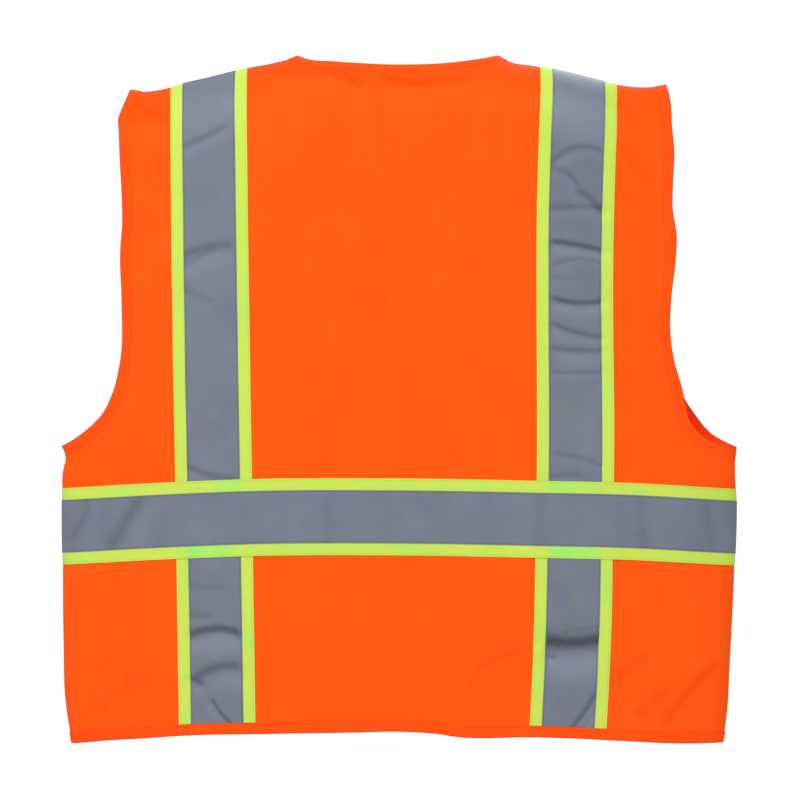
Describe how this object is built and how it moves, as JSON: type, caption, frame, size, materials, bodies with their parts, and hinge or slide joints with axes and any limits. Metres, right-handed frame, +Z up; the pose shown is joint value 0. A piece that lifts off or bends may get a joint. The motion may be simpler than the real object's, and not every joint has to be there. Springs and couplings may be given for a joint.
{
  "type": "high visibility vest",
  "caption": "Sleeveless unzipped safety vest in orange cloth with lime-backed reflective stripes, a waist band, bound edges, a zip and a flapped chest pocket.",
  "frame": {"origin": "middle of the neck opening, level with the tops of the shoulder seams, where a hanger or a neck holds the vest", "axes": "+X to the wearer's right, +Y the way the wearer faces (out of the zipped front), +Z up"},
  "size_m": [0.6576, 0.1107, 0.6666],
  "materials": {
    "orange_cloth": "fluorescent orange warp-knitted polyester, dull, with a fine rib",
    "binding_cloth": "folded orange tape binding, slightly redder than the body",
    "lime_trim": "fluorescent lime woven backing tape",
    "reflective_tape": "silver glass-bead reflective tape, grey in plain light",
    "zip_tape": "black woven zip tape",
    "zip_plastic": "black moulded plastic teeth and stops",
    "zip_metal": "dark coated metal slider and pull",
    "hook_and_loop": "orange hook and loop fastener",
    "label_cloth": "blank woven satin label"
  },
  "bodies": {
    "garment": {"back_left_stripe_tape": "reflective_tape", "back_left_stripe_trim": "lime_trim", "back_panel": "orange_cloth", "back_right_stripe_tape": "reflective_tape", "back_right_stripe_trim": "lime_trim", "back_waist_tape": "reflective_tape", "back_waist_trim": "lime_trim", "front_left_stripe_tape": "reflective_tape", "front_left_stripe_trim": "lime_trim", "front_right_stripe_tape": "reflective_tape", "front_right_stripe_trim": "lime_trim", "hem_binding": "binding_cloth", "left_armhole_binding": "binding_cloth", "left_front_side_panel": "orange_cloth", "left_front_waist_tape": "reflective_tape", "left_front_waist_trim": "lime_trim", "left_inner_pocket": "orange_cloth", "neck_binding": "binding_cloth", "neck_label": "label_cloth", "right_armhole_binding": "binding_cloth", "right_front_side_panel": "orange_cloth", "right_front_waist_tape": "reflective_tape", "right_front_waist_trim": "lime_trim", "right_inner_pocket": "orange_cloth"},
    "left_lapel": {"chest_pocket": "orange_cloth", "chest_pocket_loop_patch": "hook_and_loop", "left_front_lapel_panel": "orange_cloth", "left_lapel_hem_binding": "binding_cloth", "left_lapel_neck_binding": "binding_cloth", "left_lapel_waist_tape": "reflective_tape", "left_lapel_waist_trim": "lime_trim", "left_zip_chain": "zip_plastic", "left_zip_tape": "zip_tape", "left_zip_top_stop": "zip_plastic", "zip_insertion_pin": "zip_plastic"},
    "right_lapel": {"right_front_lapel_panel": "orange_cloth", "right_lapel_hem_binding": "binding_cloth", "right_lapel_neck_binding": "binding_cloth", "right_lapel_waist_tape": "reflective_tape", "right_lapel_waist_trim": "lime_trim", "right_zip_chain": "zip_plastic", "right_zip_tape": "zip_tape", "right_zip_top_stop": "zip_plastic", "zip_retaining_box": "zip_plastic"},
    "slider": {"zip_slider": "zip_metal"},
    "pull": {"zip_pull": "zip_metal"},
    "pocket_flap": {"chest_pocket_flap": "orange_cloth", "chest_pocket_hook_patch": "hook_and_loop"}
  },
  "joints": [
    {"name": "left_lapel_fold", "type": "hinge", "parent": "garment", "child": "left_lapel", "pos_m": [-0.128, 0.0534, -0.66], "axis": [0.0698, 0.0008, 0.9976], "range_deg": [0, 150]},
    {"name": "right_lapel_fold", "type": "hinge", "parent": "garment", "child": "right_lapel", "pos_m": [0.086, 0.0539, -0.06], "axis": [0.0698, -0.0008, -0.9976], "range_deg": [0, 150]},
    {"name": "slider_travel", "type": "slide", "parent": "right_lapel", "child": "slider", "axis": [0, 0, 1], "range_m": [0, 0.3939]},
    {"name": "pull_swing", "type": "hinge", "parent": "slider", "child": "pull", "pos_m": [0.0042, 0.0546, -0.63425], "axis": [1, 0, 0], "range_deg": [0, 170]},
    {"name": "pocket_flap_lift", "type": "hinge", "parent": "left_lapel", "child": "pocket_flap", "pos_m": [-0.051, 0.056, -0.266], "axis": [1, 0, 0], "range_deg": [0, 178]}
  ]
}
